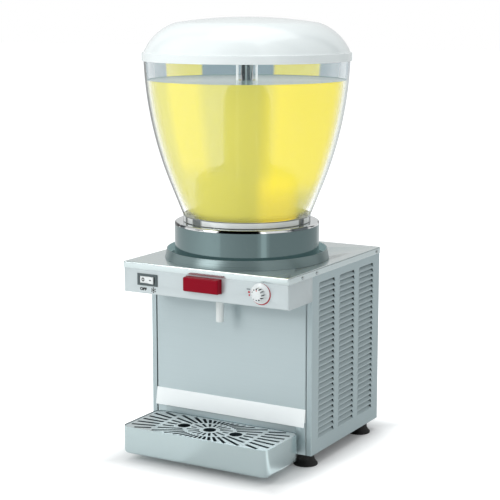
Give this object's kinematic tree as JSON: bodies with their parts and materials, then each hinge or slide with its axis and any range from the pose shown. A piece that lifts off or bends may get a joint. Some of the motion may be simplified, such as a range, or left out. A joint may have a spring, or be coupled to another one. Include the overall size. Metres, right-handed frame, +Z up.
{
  "type": "cold drink dispenser",
  "caption": "Countertop cold drink dispenser with a clear lidded bowl and stirrer on a chilled neck, push-button pinch tap, thermostat knob, rocker switch, louvred cabinet and drip tray",
  "frame": {"origin": "middle of the footprint's bounding box, on the surface that the feet stand on", "axes": "+Z up, +Y towards the back panel, so the controls face -Y; +X to the right as seen from the front"},
  "size_m": [0.3682, 0.4078, 0.7752],
  "materials": {
    "cabinet_steel": "brushed stainless sheet",
    "fascia_steel": "fine brushed stainless",
    "bright_steel": "polished",
    "tray_steel": "satin pressed stainless",
    "splash_steel": "bright satin",
    "neck_steel": "circumferentially brushed",
    "galvanised": "dull galvanised sheet",
    "screw_steel": "plain",
    "feet_rubber": "matt moulded",
    "seal_rubber": "translucent grey",
    "silicone": "milky silicone",
    "clear_bowl": "clear polycarbonate",
    "lid_white": "gloss white",
    "button_red": "deep red gloss",
    "switch_grey": "fine grained",
    "rocker_white": "satin white",
    "knob_white": "satin white",
    "inner_plastic": "natural moulded",
    "dark_plastic": "black moulded",
    "foam": "rigid foam, open cut face",
    "black_enamel": "black enamel",
    "copper": "drawn copper tube",
    "fin_black": "black painted fins",
    "spring_steel": "drawn wire",
    "shaft_steel": "ground rod"
  },
  "bodies": {
    "cabinet": {"feet": "feet_rubber", "base_pan": "galvanised", "side_panel_left": "cabinet_steel", "side_panel_right": "cabinet_steel", "back_panel": "cabinet_steel", "front_panel": "cabinet_steel", "control_box": "fascia_steel", "top_cover": "cabinet_steel", "cover_screws": "screw_steel", "panel_screws": "screw_steel", "drip_collar": "neck_steel", "neck_drum": "neck_steel", "deck_ring": "bright_steel", "foam_core": "foam", "foam_plug": "foam", "evaporator": "bright_steel", "evaporator_coil": "copper", "bowl_gasket": "seal_rubber", "outlet_socket": "inner_plastic", "drink_tube": "silicone", "valve_bracket": "galvanised", "return_spring": "spring_steel", "shaft_bush": "inner_plastic", "gear_motor": "dark_plastic", "motor_bracket": "galvanised", "splash_plate": "splash_steel", "tray_hanger": "cabinet_steel", "switch_body": "switch_grey", "thermostat_body": "inner_plastic", "cable_gland": "dark_plastic", "terminal_block": "inner_plastic", "compressor": "black_enamel", "compressor_mounts": "feet_rubber", "condenser": "fin_black", "condenser_baffle": "black_enamel", "fan_shroud": "galvanised", "fan_motor": "black_enamel", "fan_motor_bracket": "galvanised", "discharge_pipe": "copper", "filter_drier": "copper", "capillary_tube": "copper", "suction_pipe": "copper"},
    "bowl": {"bowl": "clear_bowl", "bowl_floor": "clear_bowl"},
    "lid": {"lid": "lid_white"},
    "stirrer": {"stirrer": "clear_bowl", "drive_shaft": "shaft_steel"},
    "fan": {"fan": "dark_plastic"},
    "button": {"dispense_button": "button_red", "pinch_yoke": "dark_plastic"},
    "knob": {"thermostat_knob": "knob_white", "knob_shaft": "shaft_steel"},
    "rocker": {"rocker": "rocker_white"},
    "tray": {"drip_tray": "tray_steel"},
    "grille": {"drip_grille": "tray_steel"}
  },
  "joints": [
    {"name": "bowl_lift", "type": "slide", "parent": "cabinet", "child": "bowl", "axis": [0, 0, 1], "range_m": [0, 0.3]},
    {"name": "lid_lift", "type": "slide", "parent": "bowl", "child": "lid", "axis": [0, 0, 1], "range_m": [0, 0.06]},
    {"name": "stirrer_spin", "type": "hinge", "parent": "cabinet", "child": "stirrer", "pos_m": [0, -0.01435, 0.5], "axis": [0, 0, 1], "continuous": true},
    {"name": "fan_spin", "type": "hinge", "parent": "cabinet", "child": "fan", "pos_m": [0.088, 0.061, 0.127], "axis": [1, 0, 0], "continuous": true},
    {"name": "button_press", "type": "slide", "parent": "cabinet", "child": "button", "axis": [0, 1, 0], "range_m": [0, 0.006], "stiffness_N_per_m": 400, "springref_m": -0.005, "deforming": ["return_spring"]},
    {"name": "knob_turn", "type": "hinge", "parent": "cabinet", "child": "knob", "pos_m": [0.1117, -0.16225, 0.3212], "axis": [0, 1, 0], "range_deg": [0, 270]},
    {"name": "rocker_tilt", "type": "hinge", "parent": "cabinet", "child": "rocker", "pos_m": [-0.1154, -0.16105, 0.322], "axis": [0, 0, 1], "range_deg": [0, 16]},
    {"name": "tray_lift", "type": "slide", "parent": "cabinet", "child": "tray", "axis": [0, 0, 1], "range_m": [0, 0.02]},
    {"name": "grille_lift", "type": "slide", "parent": "tray", "child": "grille", "axis": [0, 0, 1], "range_m": [0, 0.04]}
  ]
}
